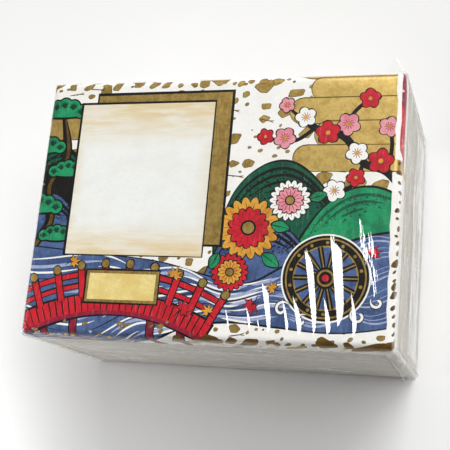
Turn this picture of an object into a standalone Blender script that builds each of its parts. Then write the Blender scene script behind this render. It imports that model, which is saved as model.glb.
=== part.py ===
"""Karuta card deck: two piles of cards in a paper tray, under a full-depth printed lid, in clear film.

Metres, +Z up. X is the long side, the front is -Y, and the box stands on z = 0, centred on the origin.
Run it with blender --background --python part.py, or from Blender's text editor.
"""

from math import cos, pi, sin

import bmesh
import bpy

MM = 0.001

# Cards
CARD_WIDTH = 52.0 * MM
CARD_LENGTH = 73.0 * MM
CARD_THICKNESS = 1.10 * MM
CARD_CORNER = 1.2 * MM  # radius of a card's corners
CARD_GAP = 0.06 * MM  # air between two cards that aren't quite flat
CARDS_PER_PILE = 50
LOOSE_CARDS = 25  # the top ones of each pile, which are nodes of their own; those below are joined
GROOVE_DEPTH = 0.5 * MM  # how far the joined cards show apart at their edges

# Paper and board
TRAY_BOARD = 1.2 * MM
LID_BOARD = 1.2 * MM
WRAP_PAPER = 0.2 * MM  # the white paper round the tray and the lid's sides
PRINT_PAPER = 0.2 * MM
TURN_IN = 12.0 * MM  # how far the white paper runs back inside past a rim
PRINT_SKIRT = 6.6 * MM  # how far the print runs down the sides below the rounded edge
EDGE_RADIUS = 2.2 * MM  # the lid's top edge, over the print
CORNER_RADIUS = 1.2 * MM  # the lid's upright edges, over the paper
LEAST_RADIUS = 0.1 * MM  # inner corners get no sharper than this
FOOT = 1.5 * MM  # the tray's height that shows below the lid's rim

# Film
FILM = 0.1 * MM
FILM_SLIT = 0.4 * MM  # where the film is cut open, below the lid's rim

# Clearances
SEAT_GAP = 0.3 * MM  # between two pieces of which one rests on the other
GLUE_GAP = 0.1 * MM  # between paper and the board that it is glued to
FILM_GAP = 0.2 * MM  # between the film and what it is drawn over
PILE_PLAY = 0.6 * MM  # round each pile
LID_PLAY = 0.5 * MM  # between the lid and the tray, on each side
HEADROOM = 0.5 * MM  # from the top card to the tray's rim

# Facets
CORNER_STEPS = 2
EDGE_STEPS = 5

# Colours
CARD_WHITE = (0.80, 0.78, 0.72)
CARD_GREEN = (0.10, 0.22, 0.13)
PAPER_WHITE = (0.80, 0.80, 0.78)
BOARD_GREY = (0.42, 0.40, 0.37)
PRINT_CREAM = (0.78, 0.70, 0.50)
FILM_CLEAR = (0.90, 0.92, 0.93)

# Heights, from the table up
CARD_PITCH = CARD_THICKNESS + CARD_GAP
Z_TRAY_PAPER = FILM + SEAT_GAP
Z_TRAY_BOARD = Z_TRAY_PAPER + WRAP_PAPER + GLUE_GAP
Z_TRAY_FLOOR = Z_TRAY_BOARD + TRAY_BOARD
Z_CARDS = Z_TRAY_FLOOR + SEAT_GAP
Z_CARDS_TOP = Z_CARDS + CARDS_PER_PILE * CARD_PITCH - CARD_GAP
Z_TRAY_RIM = Z_CARDS_TOP + HEADROOM
Z_TRAY_TOP = Z_TRAY_RIM + GLUE_GAP + WRAP_PAPER
Z_LID_RIM = Z_TRAY_PAPER + FOOT
Z_LID_CEILING = Z_TRAY_TOP + SEAT_GAP
Z_LID_TOP = Z_LID_CEILING + LID_BOARD
Z_PRINT_TOP = Z_LID_TOP + GLUE_GAP + PRINT_PAPER
Z_FILM_TOP = Z_PRINT_TOP + FILM_GAP + FILM
Z_PRINT_LOW = Z_PRINT_TOP - EDGE_RADIUS - PRINT_SKIRT
Z_SIDE_PAPER_TOP = Z_PRINT_LOW - SEAT_GAP

# The room that both piles share, and how far each layer lies outside it
ROOM_X = 2 * CARD_WIDTH + 3 * PILE_PLAY
ROOM_Y = CARD_LENGTH + 2 * PILE_PLAY
TRAY_IN = WRAP_PAPER + GLUE_GAP
TRAY_OUT = TRAY_IN + TRAY_BOARD
TRAY_PAPER_IN = TRAY_OUT + GLUE_GAP
TRAY_PAPER_OUT = TRAY_PAPER_IN + WRAP_PAPER
LID_CLEAR = TRAY_PAPER_OUT + LID_PLAY
LID_IN = LID_CLEAR + WRAP_PAPER + GLUE_GAP
LID_OUT = LID_IN + LID_BOARD
SKIN_IN = LID_OUT + GLUE_GAP
SKIN_OUT = SKIN_IN + max(WRAP_PAPER, PRINT_PAPER)
FILM_IN = SKIN_OUT + FILM_GAP
FILM_OUT = FILM_IN + FILM


def clear_scene():
    for thing in list(bpy.data.objects):
        bpy.data.objects.remove(thing, do_unlink=True)


def make_material(name, colour, roughness, alpha=1.0):
    material = bpy.data.materials.new(name)
    material.use_nodes = True
    shader = material.node_tree.nodes["Principled BSDF"]
    shader.inputs["Base Color"].default_value = (*colour, 1.0)
    shader.inputs["Roughness"].default_value = roughness
    shader.inputs["Metallic"].default_value = 0.0
    shader.inputs["Alpha"].default_value = alpha
    return material


def ring_points(half_x, half_y, radius):
    """A rectangle with round corners, anticlockwise from its right side."""
    points = []
    for turn, (side_x, side_y) in enumerate(((1, 1), (-1, 1), (-1, -1), (1, -1))):
        for step in range(CORNER_STEPS + 1):
            angle = (turn + step / CORNER_STEPS) * pi / 2
            x = side_x * (half_x - radius) + radius * cos(angle)
            y = side_y * (half_y - radius) + radius * sin(angle)
            points.append((x, y))
    return points


def ring_mesh(name, size_x, size_y, corner, profile, closed=False):
    """One closed solid through a ring for each (outset, height) of the profile.

    A ring is the size_x by size_y rectangle grown by its outset, with the corner radius grown alike.
    The first and last rings are filled, or joined to each other if the profile is closed.
    """
    bm = bmesh.new()
    rings = []
    for outset, height in profile:
        radius = max(corner + outset, LEAST_RADIUS)
        outline = ring_points(size_x / 2 + outset, size_y / 2 + outset, radius)
        rings.append([bm.verts.new((x, y, height)) for x, y in outline])
    if closed:
        pairs = zip(rings, rings[1:] + rings[:1])
    else:
        pairs = zip(rings, rings[1:])
        bm.faces.new(rings[0])
        bm.faces.new(rings[-1])
    for lower, upper in pairs:
        for i in range(len(lower)):
            j = (i + 1) % len(lower)
            bm.faces.new((lower[i], lower[j], upper[j], upper[i]))
    bmesh.ops.recalc_face_normals(bm, faces=bm.faces)
    mesh = bpy.data.meshes.new(name)
    bm.to_mesh(mesh)
    bm.free()
    return mesh


def add_body(name, parent=None, height=0.0):
    """An empty that carries the pieces of one rigid body, at the height where that body seats."""
    body = bpy.data.objects.new(name, None)
    bpy.context.collection.objects.link(body)
    body.parent = parent
    body.location.z = height - (world_height(parent) if parent else 0.0)
    return body


def world_height(body):
    return body.location.z + (world_height(body.parent) if body.parent else 0.0)


def add_piece(name, mesh, material, body, x=0.0, height=0.0):
    """A node, with its mesh's own zero at this height above the table."""
    piece = bpy.data.objects.new(name, mesh)
    bpy.context.collection.objects.link(piece)
    if not mesh.materials:
        mesh.materials.append(material)
    piece.parent = body
    piece.location = (x, 0.0, height - world_height(body))
    return piece


def room_mesh(name, profile, closed=False):
    """A ring mesh whose outsets count from the room that both piles share."""
    return ring_mesh(name, ROOM_X, ROOM_Y, CORNER_RADIUS - SKIN_OUT, profile, closed)


def rounded_edge(outset, top, radius):
    """Profile points from an upright side, over a quarter round, to a flat top."""
    points = []
    for step in range(EDGE_STEPS + 1):
        angle = step / EDGE_STEPS * pi / 2
        points.append((outset - radius + radius * cos(angle), top - radius + radius * sin(angle)))
    return points


def cap_profile(outset, top, radius, thickness, low):
    """Profile of a thin cap with a rounded top edge, open below, from its inner top to its outer top."""
    inner = rounded_edge(outset - thickness, top - thickness, radius - thickness)
    outer = rounded_edge(outset, top, radius)
    return inner[::-1] + [(outset - thickness, low), (outset, low)] + outer


def build_tray(body):
    board = [
        (TRAY_OUT, Z_TRAY_BOARD),
        (TRAY_OUT, Z_TRAY_RIM),
        (TRAY_IN, Z_TRAY_RIM),
        (TRAY_IN, Z_TRAY_FLOOR),
    ]
    grey = make_material("tray_greyboard", BOARD_GREY, 0.9)
    add_piece("tray_board", room_mesh("tray_board", board), grey, body)

    paper = [
        (TRAY_PAPER_OUT, Z_TRAY_PAPER),
        (TRAY_PAPER_OUT, Z_TRAY_TOP),
        (0.0, Z_TRAY_TOP),
        (0.0, Z_TRAY_TOP - TURN_IN),
        (WRAP_PAPER, Z_TRAY_TOP - TURN_IN),
        (WRAP_PAPER, Z_TRAY_TOP - WRAP_PAPER),
        (TRAY_PAPER_IN, Z_TRAY_TOP - WRAP_PAPER),
        (TRAY_PAPER_IN, Z_TRAY_PAPER + WRAP_PAPER),
    ]
    white = make_material("tray_white_paper", PAPER_WHITE, 0.7)
    add_piece("tray_wrap_paper", room_mesh("tray_wrap_paper", paper), white, body)

    film = [
        (FILM_OUT, 0.0),
        (FILM_OUT, Z_LID_RIM - FILM_SLIT),
        (FILM_IN, Z_LID_RIM - FILM_SLIT),
        (FILM_IN, FILM),
    ]
    clear = make_material("base_film", FILM_CLEAR, 0.1, alpha=0.2)
    add_piece("film_base_sheet", room_mesh("film_base_sheet", film), clear, body)


def build_lid(body):
    edge = EDGE_RADIUS - PRINT_PAPER - GLUE_GAP
    board = [
        (LID_IN, Z_LID_CEILING),
        (LID_IN, Z_LID_RIM + WRAP_PAPER + GLUE_GAP),
        (LID_OUT, Z_LID_RIM + WRAP_PAPER + GLUE_GAP),
    ] + rounded_edge(LID_OUT, Z_LID_TOP, edge)
    grey = make_material("lid_greyboard", BOARD_GREY, 0.9)
    add_piece("lid_board", room_mesh("lid_board", board), grey, body)

    side = [
        (SKIN_IN, Z_SIDE_PAPER_TOP),
        (SKIN_IN + WRAP_PAPER, Z_SIDE_PAPER_TOP),
        (SKIN_IN + WRAP_PAPER, Z_LID_RIM),
        (LID_CLEAR, Z_LID_RIM),
        (LID_CLEAR, Z_LID_RIM + TURN_IN),
        (LID_CLEAR + WRAP_PAPER, Z_LID_RIM + TURN_IN),
        (LID_CLEAR + WRAP_PAPER, Z_LID_RIM + WRAP_PAPER),
        (SKIN_IN, Z_LID_RIM + WRAP_PAPER),
    ]
    white = make_material("lid_white_paper", PAPER_WHITE, 0.7)
    add_piece("lid_side_paper", room_mesh("lid_side_paper", side, closed=True), white, body)

    sheet = cap_profile(SKIN_IN + PRINT_PAPER, Z_PRINT_TOP, EDGE_RADIUS, PRINT_PAPER, Z_PRINT_LOW)
    ink = make_material("lid_print", PRINT_CREAM, 0.4)
    add_piece("lid_print_sheet", room_mesh("lid_print_sheet", sheet), ink, body)


def build_film(body):
    edge = EDGE_RADIUS + FILM_GAP + FILM
    sleeve = cap_profile(FILM_OUT, Z_FILM_TOP, edge, FILM, Z_LID_RIM)
    clear = make_material("sleeve_film", FILM_CLEAR, 0.1, alpha=0.2)
    add_piece("film_sleeve", room_mesh("film_sleeve", sleeve), clear, body)


def card_edges(count, step):
    """Profile of a run of cards, grooved at their edges between one card and the next."""
    points = []
    for card in range(count):
        low = card * step
        if card:
            points.append((-GROOVE_DEPTH, low))
        points += [(0.0, low), (0.0, low + CARD_THICKNESS)]
        if card < count - 1:
            points.append((-GROOVE_DEPTH, low + CARD_THICKNESS))
    return points


def build_pile(side, x, pile, top_card):
    """One pile, from the joined cards at its foot to the top card, which is a body of its own."""
    stock = make_material(side + "_card_stock", CARD_WHITE, 0.8)
    back = make_material(side + "_card_back", CARD_GREEN, 0.7)
    joined = CARDS_PER_PILE - LOOSE_CARDS
    run = ring_mesh(side + "_lower_cards", CARD_WIDTH, CARD_LENGTH, CARD_CORNER, card_edges(joined, CARD_PITCH))
    add_piece(side + "_lower_cards", run, stock, pile, x, Z_CARDS)
    card = ring_mesh(side + "_card", CARD_WIDTH, CARD_LENGTH, CARD_CORNER, card_edges(1, CARD_PITCH))
    for number in range(joined + 1, CARDS_PER_PILE + 1):
        body = top_card if number == CARDS_PER_PILE else pile
        height = Z_CARDS + (number - 1) * CARD_PITCH
        add_piece(f"{side}_card_{number}", card, back, body, x, height)


def main():
    clear_scene()
    tray = add_body("tray")
    pile_x = (CARD_WIDTH + PILE_PLAY) / 2
    top_height = Z_CARDS + (CARDS_PER_PILE - 1) * CARD_PITCH
    tops = {}
    for side, sign in (("left", -1), ("right", 1)):
        pile = add_body(side + "_pile", tray, Z_CARDS)
        tops[side] = add_body(side + "_top_card", pile, top_height)
        build_pile(side, sign * pile_x, pile, tops[side])
    lid = add_body("lid", tops["left"], Z_LID_CEILING)
    film = add_body("film", lid, Z_FILM_TOP)
    build_tray(tray)
    build_lid(lid)
    build_film(film)


main()
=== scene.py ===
"""Looks of the boxed karuta deck: printed lid, white side paper, clear film, tray and cards."""

import random
from math import cos, hypot, pi, radians, sin

import bpy
from mathutils import Matrix, Vector, noise
from mathutils.geometry import delaunay_2d_cdt


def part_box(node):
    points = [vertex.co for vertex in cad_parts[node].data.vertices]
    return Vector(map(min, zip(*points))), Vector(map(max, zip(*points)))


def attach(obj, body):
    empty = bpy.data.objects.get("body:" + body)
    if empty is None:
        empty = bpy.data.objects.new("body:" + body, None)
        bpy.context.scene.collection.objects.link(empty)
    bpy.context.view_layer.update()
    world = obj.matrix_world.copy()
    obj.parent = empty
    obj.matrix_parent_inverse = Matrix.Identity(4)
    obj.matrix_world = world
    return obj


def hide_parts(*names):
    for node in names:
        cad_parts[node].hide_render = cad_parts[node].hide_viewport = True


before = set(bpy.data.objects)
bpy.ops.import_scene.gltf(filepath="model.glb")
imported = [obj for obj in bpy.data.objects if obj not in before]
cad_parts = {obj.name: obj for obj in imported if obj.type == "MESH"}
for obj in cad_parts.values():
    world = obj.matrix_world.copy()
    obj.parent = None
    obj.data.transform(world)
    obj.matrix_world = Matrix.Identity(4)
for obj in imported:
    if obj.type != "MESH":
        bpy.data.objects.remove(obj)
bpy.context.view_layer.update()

MM = 0.001

# The printed sheet: its box in metres, and in millimetres its flat part, its rounded edge and its skirt
SHEET_LOW, SHEET_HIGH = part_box("lid_print_sheet")
SHEET_TOP = SHEET_HIGH.z / MM
SHEET_HALF_X = SHEET_HIGH.x / MM
SHEET_HALF_Y = SHEET_HIGH.y / MM
EDGE_RADIUS = 2.2
CORNER_RADIUS = 1.2
FLAT_X = SHEET_HALF_X - EDGE_RADIUS
FLAT_Y = SHEET_HALF_Y - EDGE_RADIUS
EDGE_ARC = EDGE_RADIUS * pi / 2
SKIRT = (SHEET_HIGH.z - SHEET_LOW.z) / MM - EDGE_RADIUS
SHEET_THICK = 0.2
FOLD_STEPS = 6

# The bare slip on the print, in millimetres
SLIP_LEFT, SLIP_LOW, SLIP_RIGHT, SLIP_TOP = -45.2, -16.0, -0.8, 33.1

# The film: its box in metres, its thickness and edge radius in millimetres, and its rings down the walls
FILM_LOW, FILM_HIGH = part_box("film_sleeve")
FILM_THICK = 0.1
FILM_RADIUS = EDGE_RADIUS + 0.3
WALL_STEPS = 20

# The camera, with its place in metres, its right and forward directions and its lens in millimetres
CAMERA_PLACE = Vector((0.09165, -0.07958, 0.33299))
CAMERA_RIGHT = Vector((0.95599, 0.08890, -0.27961))
CAMERA_FORWARD = Vector((-0.29316, 0.25040, -0.92269))
CAMERA_LENS = 78.9

# Lamps, in metres: the place of the one that the film's folds mirror, and the broad ones' aim and width
STRIP_LAMP_PLACE = Vector((-0.65, 0.07, 0.62))
BROAD_LAMP_AIM = (0, 0, 0.03)
BROAD_LAMP_WIDTH = 1.8


def srgb(red, green, blue):
    """A colour given as 0 to 255, as Blender's linear colour."""
    def linear(level):
        level = level / 255
        if level <= 0.04045:
            return level / 12.92
        return ((level + 0.055) / 1.055) ** 2.4

    return (linear(red), linear(green), linear(blue), 1.0)


# Shared node groups


def feed(tree, value, socket):
    """Links a socket to an input, or sets a plain value on it."""
    if isinstance(value, bpy.types.NodeSocket):
        tree.links.new(value, socket)
    else:
        socket.default_value = value


def feed_inputs(tree, node, **values):
    """Feeds a node's inputs by name, each with a socket or a plain value."""
    for label, value in values.items():
        feed(tree, value, node.inputs[label.replace("_", " ")])


def add_place(tree, kind="Object"):
    """Coordinates of the shaded point, or its normal."""
    return tree.nodes.new("ShaderNodeTexCoord").outputs[kind]


def split_axes(tree, vector):
    """The parts of a vector along its axes."""
    node = tree.nodes.new("ShaderNodeSeparateXYZ")
    tree.links.new(vector, node.inputs[0])
    return node.outputs


def add_noise(tree, place, stretch, detail, roughness=0.55, distortion=0.0):
    """A noise texture; its stretch is a number, one number for each axis, or a socket."""
    drawn = tree.nodes.new("ShaderNodeVectorMath")
    drawn.operation = "MULTIPLY"
    tree.links.new(place, drawn.inputs[0])
    if isinstance(stretch, (int, float)):
        stretch = (stretch, stretch, stretch)
    feed(tree, stretch, drawn.inputs[1])
    texture = tree.nodes.new("ShaderNodeTexNoise")
    feed_inputs(tree, texture, Vector=drawn.outputs[0], Scale=1, Detail=detail)
    feed_inputs(tree, texture, Roughness=roughness, Distortion=distortion)
    return texture.outputs["Fac"]


def add_ramp(tree, factor, low, high):
    """A smooth step of a factor from 0 at low to 1 at high."""
    step = tree.nodes.new("ShaderNodeMapRange")
    step.interpolation_type = "SMOOTHSTEP"
    feed_inputs(tree, step, Value=factor, From_Min=low, From_Max=high)
    return step.outputs["Result"]


def add_mix(tree, factor, first, second):
    """A mix of two colours; each one is a socket or a plain colour."""
    mix = tree.nodes.new("ShaderNodeMix")
    mix.data_type = "RGBA"
    feed_inputs(tree, mix, Factor=factor)
    for colour, socket in zip((first, second), [s for s in mix.inputs if s.type == "RGBA"]):
        feed(tree, colour, socket)
    return [s for s in mix.outputs if s.type == "RGBA"][0]


def add_math(tree, operation, *values):
    """A math node; each value is a socket or a number."""
    node = tree.nodes.new("ShaderNodeMath")
    node.operation = operation
    for value, socket in zip(values, node.inputs):
        feed(tree, value, socket)
    return node.outputs[0]


def new_group(name, **inputs):
    """A shader group that gives a colour, a roughness and a height, with its inputs and its end node."""
    group = bpy.data.node_groups.new(name, "ShaderNodeTree")
    outputs = {"Colour": "Color", "Roughness": "Float", "Height": "Float"}
    for way, sockets in (("INPUT", inputs), ("OUTPUT", outputs)):
        for label, kind in sockets.items():
            group.interface.new_socket(label.replace("_", " "), in_out=way, socket_type="NodeSocket" + kind)
    return group, group.nodes.new("NodeGroupInput").outputs, group.nodes.new("NodeGroupOutput")


def make_fold_wear(group, place):
    """Where the print is rubbed through: patches along the start of the rounded edge."""
    axes = split_axes(group, place)
    past = []
    for axis, half in (("X", FLAT_X), ("Y", FLAT_Y)):
        past.append(add_math(group, "SUBTRACT", add_math(group, "ABSOLUTE", axes[axis]), half * MM))
    edge = add_math(group, "MAXIMUM", *past)
    inner = add_ramp(group, edge, 0.0003, 0.0011)
    outer = add_ramp(group, edge, 0.0022, 0.0017)
    patches = add_ramp(group, add_noise(group, place, 420, 4), 0.62, 0.70)
    return add_math(group, "MULTIPLY", add_math(group, "MULTIPLY", inner, outer), patches)


def make_pigment_group():
    """Hand-laid ink: pools of a second tone, dry brush marks, the paper's grain and rubbed folds."""
    group, given, end = new_group(
        "hand_laid_pigment",
        Colour="Color",
        Pool_Colour="Color",
        Pool_Size="Float",
        Pooling="Float",
        Dry_Brush="Float",
        Fold_Wear="Float",
    )
    place = add_place(group)
    pools = add_noise(group, place, given["Pool Size"], 6, 0.66)
    grain = add_noise(group, place, 1300, 3)
    bristles = add_noise(group, place, (1900, 160, 400), 3)
    pooled = add_math(group, "MULTIPLY", add_ramp(group, pools, 0.42, 0.64), given["Pooling"])
    inked = add_mix(group, pooled, given["Colour"], given["Pool Colour"])
    bare = add_math(group, "MULTIPLY", add_ramp(group, bristles, 0.56, 0.72), given["Dry Brush"])
    brushed = add_mix(group, bare, inked, srgb(226, 220, 204))
    dark = add_math(group, "MULTIPLY", add_ramp(group, grain, 0.55, 0.38), 0.4)
    grained = add_mix(group, dark, brushed, given["Pool Colour"])
    worn = add_math(group, "MULTIPLY", make_fold_wear(group, place), given["Fold Wear"])
    colour = add_mix(group, worn, grained, srgb(238, 235, 228))
    rough = add_math(group, "MULTIPLY_ADD", grain, 0.24, 0.32)
    feed_inputs(group, end, Colour=colour, Roughness=rough, Height=grain)
    return group


def make_fibre_group():
    """Paper or board: drawn-out fibres, small specks and a slight unevenness of tone."""
    group, given, end = new_group(
        "paper_fibre",
        Colour="Color",
        Fibre_Colour="Color",
        Stretch="Vector",
        Speckle="Float",
    )
    place = add_place(group)
    fibres = add_noise(group, place, given["Stretch"], 5, distortion=0.7)
    specks = add_ramp(group, add_noise(group, place, 900, 3), 0.6, 0.75)
    patches = add_ramp(group, add_noise(group, place, 60, 3), 0.4, 0.62)
    patch = add_math(group, "MULTIPLY_ADD", patches, 0.8, 0.2)
    streak = add_math(group, "MULTIPLY", add_ramp(group, fibres, 0.35, 0.7), patch)
    base = add_mix(group, streak, given["Colour"], given["Fibre Colour"])
    speck = add_math(group, "MULTIPLY", specks, given["Speckle"])
    colour = add_mix(group, speck, base, given["Fibre Colour"])
    rough = add_math(group, "MULTIPLY_ADD", streak, 0.18, 0.6)
    feed_inputs(group, end, Colour=colour, Roughness=rough, Height=fibres)
    return group


pigment_group = make_pigment_group()
fibre_group = make_fibre_group()


# Materials


def new_material(name):
    """A node material with its Principled shader, ready to be linked."""
    material = bpy.data.materials.new(name)
    material.use_nodes = True
    return material, material.node_tree, material.node_tree.nodes["Principled BSDF"]


def add_group(tree, group, **values):
    """A shared group placed in a material, with this material's own values."""
    node = tree.nodes.new("ShaderNodeGroup")
    node.node_tree = group
    feed_inputs(tree, node, **values)
    return node.outputs


def add_bump(tree, shader, height, distance, strength=0.5):
    """A bump of the given depth, in metres, on the shader's normal."""
    bump = tree.nodes.new("ShaderNodeBump")
    feed_inputs(tree, bump, Height=height, Distance=distance, Strength=strength)
    feed_inputs(tree, shader, Normal=bump.outputs["Normal"])


def ink(name, colour, pool_colour, pool_size, pooling, metallic=0.0, dry=0.1, wear=1.0):
    """One colour of the print."""
    material, tree, shader = new_material(name)
    pigment = add_group(
        tree,
        pigment_group,
        Colour=srgb(*colour),
        Pool_Colour=srgb(*pool_colour),
        Pool_Size=pool_size,
        Pooling=pooling,
        Dry_Brush=dry,
        Fold_Wear=wear,
    )
    feed_inputs(tree, shader, Base_Color=pigment["Colour"], Roughness=pigment["Roughness"])
    feed_inputs(tree, shader, Metallic=metallic, Specular_IOR_Level=0.35)
    add_bump(tree, shader, pigment["Height"], 0.00002, 0.4)
    return material


def fibre(tree, colour, fibre_colour, stretch, speckle):
    """The shared fibre group with the given colours."""
    colours = {"Colour": srgb(*colour), "Fibre_Colour": srgb(*fibre_colour)}
    return add_group(tree, fibre_group, Stretch=stretch, Speckle=speckle, **colours)


def paper(name, colour, fibre_colour, stretch, speckle, depth=0.00004):
    """Paper or board."""
    material, tree, shader = new_material(name)
    sheet = fibre(tree, colour, fibre_colour, stretch, speckle)
    feed_inputs(tree, shader, Base_Color=sheet["Colour"], Roughness=sheet["Roughness"])
    feed_inputs(tree, shader, Specular_IOR_Level=0.25)
    add_bump(tree, shader, sheet["Height"], depth)
    return material


inks = {
    "ground": ink("print_white_ground", (244, 243, 239), (236, 233, 224), 90, 0.7),
    # Dark gold: the rims and threads of the leaf, and also the leaf on the right rounded edge, where it
    # stands as painted shade
    "dark_gold": ink("print_dark_gold", (118, 92, 44), (92, 70, 34), 300, 0.7, 0.5, 0.0, 0.0),
    # Gold leaf in painted shade: a darker gold for the leaf on the front rounded edge, which turns away from
    # the light
    "gold_in_painted_shade": ink("print_gold_in_painted_shade", (136, 104, 46), (108, 80, 34), 340, 0.7, 0.5, 0.0, 0.0),
    "black": ink("print_black", (14, 13, 13), (26, 22, 20), 300, 0.6, 0.0, 0.03),
    "green": ink("print_green", (31, 152, 99), (18, 116, 76), 190, 0.9),
    "deep_green": ink("print_deep_green", (16, 92, 66), (10, 66, 50), 190, 0.9),
    "blue": ink("print_blue", (80, 104, 150), (52, 72, 112), 180, 0.9),
    "pale_blue": ink("print_pale_blue", (168, 178, 208), (140, 152, 192), 200, 0.8),
    "red": ink("print_red", (206, 30, 46), (168, 22, 36), 170, 0.8),
    "crimson": ink("print_crimson", (150, 28, 58), (110, 20, 44), 200, 0.8),
    "amber": ink("print_amber", (220, 164, 62), (190, 128, 40), 220, 0.9),
    "pink": ink("print_pink", (230, 158, 166), (214, 120, 138), 240, 0.8),
    "label": ink("print_label_cream", (234, 216, 146), (220, 192, 112), 120, 0.8),
}


def ink_nodes(material):
    """A finished ink's tree and shader, and the socket that colours it."""
    tree = material.node_tree
    shader = tree.nodes["Principled BSDF"]
    return tree, shader, shader.inputs["Base Color"].links[0].from_socket


def make_gold_leaf(name, colour, pool_colour, wear):
    """Gold leaf: brushed grain, and worn patches where the rust-red ground shows through."""
    material = ink(name, colour, pool_colour, 420, 0.8, 0.75, 0.0)
    tree, shader, plain = ink_nodes(material)
    place = add_place(tree)
    brushed = add_ramp(tree, add_noise(tree, place, (1500, 240, 500), 4, 0.6), 0.5, 0.7)
    streaked = add_mix(tree, add_math(tree, "MULTIPLY", brushed, 0.45), plain, srgb(222, 194, 122))
    bare = add_ramp(tree, add_noise(tree, place, 46, 6, 0.7), 0.54, 0.68)
    worn = add_mix(tree, add_math(tree, "MULTIPLY", bare, wear), streaked, srgb(164, 84, 44))
    feed_inputs(tree, shader, Base_Color=worn)
    return material


inks["gold"] = make_gold_leaf("print_gold_leaf", (196, 166, 94), (158, 128, 66), 0.0)
inks["worn_gold"] = make_gold_leaf("print_worn_gold_leaf", (226, 196, 118), (196, 164, 92), 0.8)


def make_slip_ink():
    """The bare cream slip, with a streaky tan wash along its top, its foot and its sides."""
    material = ink("print_slip_cream", (238, 240, 237), (230, 230, 223), 90, 0.6, 0.0, 0.05)
    tree, shader, plain = ink_nodes(material)
    place = add_place(tree)
    axes = split_axes(tree, place)
    wash = 0
    for axis, inner, outer, strength in (
        ("Y", SLIP_TOP - 17, SLIP_TOP - 2, 1.0),
        ("Y", SLIP_LOW + 12, SLIP_LOW + 1, 1.0),
        ("X", SLIP_RIGHT - 5, SLIP_RIGHT, 0.4),
        ("X", SLIP_LEFT + 4, SLIP_LEFT, 0.5),
    ):
        side = add_ramp(tree, axes[axis], inner * MM, outer * MM)
        wash = add_math(tree, "MAXIMUM", wash, add_math(tree, "MULTIPLY", side, strength))
    streaks = add_ramp(tree, add_noise(tree, place, (60, 420, 1), 5, 0.62), 0.36, 0.64)
    amount = add_math(tree, "MULTIPLY", wash, add_math(tree, "MULTIPLY_ADD", streaks, 0.6, 0.4))
    feed_inputs(tree, shader, Base_Color=add_mix(tree, amount, plain, srgb(222, 202, 158)))
    return material


inks["slip"] = make_slip_ink()

white_paper = paper("white_side_paper", (207, 203, 195), (190, 185, 175), (45, 85, 230), 0.12)
wrap_paper = paper("white_wrap_paper", (236, 235, 230), (226, 223, 214), (500, 500, 500), 0.3)
greyboard = paper("greyboard_fibres", (148, 142, 132), (116, 110, 101), (700, 260, 700), 0.6, 0.0001)


def make_card_stock():
    """Thick card: a green backing paper above, white edges, and uneven dark lines where two cards meet,
    partly the green backing at each card's edge and partly painted shade between the cards.
    """
    card_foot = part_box("left_card_50")[0].z
    pitch = card_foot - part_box("left_card_49")[0].z
    material, tree, shader = new_material("card_stock_layers")
    edge = fibre(tree, (236, 232, 220), (214, 208, 192), (80, 80, 6000), 0.3)
    back = fibre(tree, (70, 112, 78), (52, 92, 62), (900, 380, 600), 0.5)
    upward = add_ramp(tree, split_axes(tree, add_place(tree, "Normal"))["Z"], 0.3, 0.5)
    place = add_place(tree)
    above = add_math(tree, "SUBTRACT", split_axes(tree, place)["Z"], card_foot)
    layer = add_math(tree, "FRACT", add_math(tree, "DIVIDE", above, pitch))
    meeting = add_math(tree, "MAXIMUM", add_ramp(tree, layer, 0.74, 0.9), add_ramp(tree, layer, 0.12, 0.02))
    loose = add_ramp(tree, add_noise(tree, place, (6, 6, 420), 2), 0.48, 0.62)
    # Dark lines between cards: partly the green backing at each card's edge, partly painted shade in the
    # space between the cards
    seam_backing_and_shade = add_math(tree, "MULTIPLY", meeting, add_math(tree, "MULTIPLY_ADD", loose, 0.85, 0.08))
    layered = add_mix(tree, seam_backing_and_shade, edge["Colour"], srgb(92, 100, 78))
    colour = add_mix(tree, upward, layered, back["Colour"])
    feed_inputs(tree, shader, Base_Color=colour, Roughness=back["Roughness"])
    add_bump(tree, shader, back["Height"], 0.00003)
    return material


def make_film():
    """Clear shrink film: a mirror-like shine on top, and milky crinkles along the walls."""
    material, tree, shader = new_material("clear_shrink_film")
    place = add_place(tree)
    waves = add_ramp(tree, add_noise(tree, place, 70, 2), 0.3, 0.8)
    shine = add_math(tree, "MULTIPLY_ADD", waves, 0.08, 0.05)
    level = add_math(tree, "ABSOLUTE", split_axes(tree, add_place(tree, "Normal"))["Z"])
    upright = add_ramp(tree, level, 0.9, 0.5)
    haze = add_ramp(tree, add_noise(tree, place, (38, 85, 210), 5, 0.6, 0.6), 0.42, 0.7)
    lines = add_math(tree, "SUBTRACT", add_noise(tree, place, (22, 45, 130), 3, distortion=0.6), 0.5)
    line = add_ramp(tree, add_math(tree, "ABSOLUTE", lines), 0.025, 0.0)
    milky = add_math(tree, "MULTIPLY_ADD", haze, 0.14, add_math(tree, "MULTIPLY", line, 0.16))
    feed_inputs(
        tree,
        shader,
        Base_Color=(1, 1, 1, 1),
        Roughness=add_math(tree, "MULTIPLY_ADD", upright, 0.3, shine),
        Metallic=add_math(tree, "SUBTRACT", 1, upright),
        Alpha=add_math(tree, "MULTIPLY_ADD", milky, upright, 0.013),
    )
    return material


def make_film_haze(name, colour, streak_colour, least, most, stretch=(900, 900, 70)):
    """Film that lies doubled or gathered: milky, with streaks along its folds. The same maker gives the dark
    painted shadow line along raised film edges and the white painted highlight on the wall creases.
    """
    material, tree, shader = new_material(name)
    streak = add_ramp(tree, add_noise(tree, add_place(tree), stretch, 4), 0.36, 0.64)
    feed_inputs(
        tree,
        shader,
        Base_Color=add_mix(tree, streak, srgb(*colour), srgb(*streak_colour)),
        Roughness=add_math(tree, "MULTIPLY_ADD", streak, 0.2, 0.15),
        Alpha=add_math(tree, "MULTIPLY_ADD", streak, most - least, least),
    )
    return material


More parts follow.
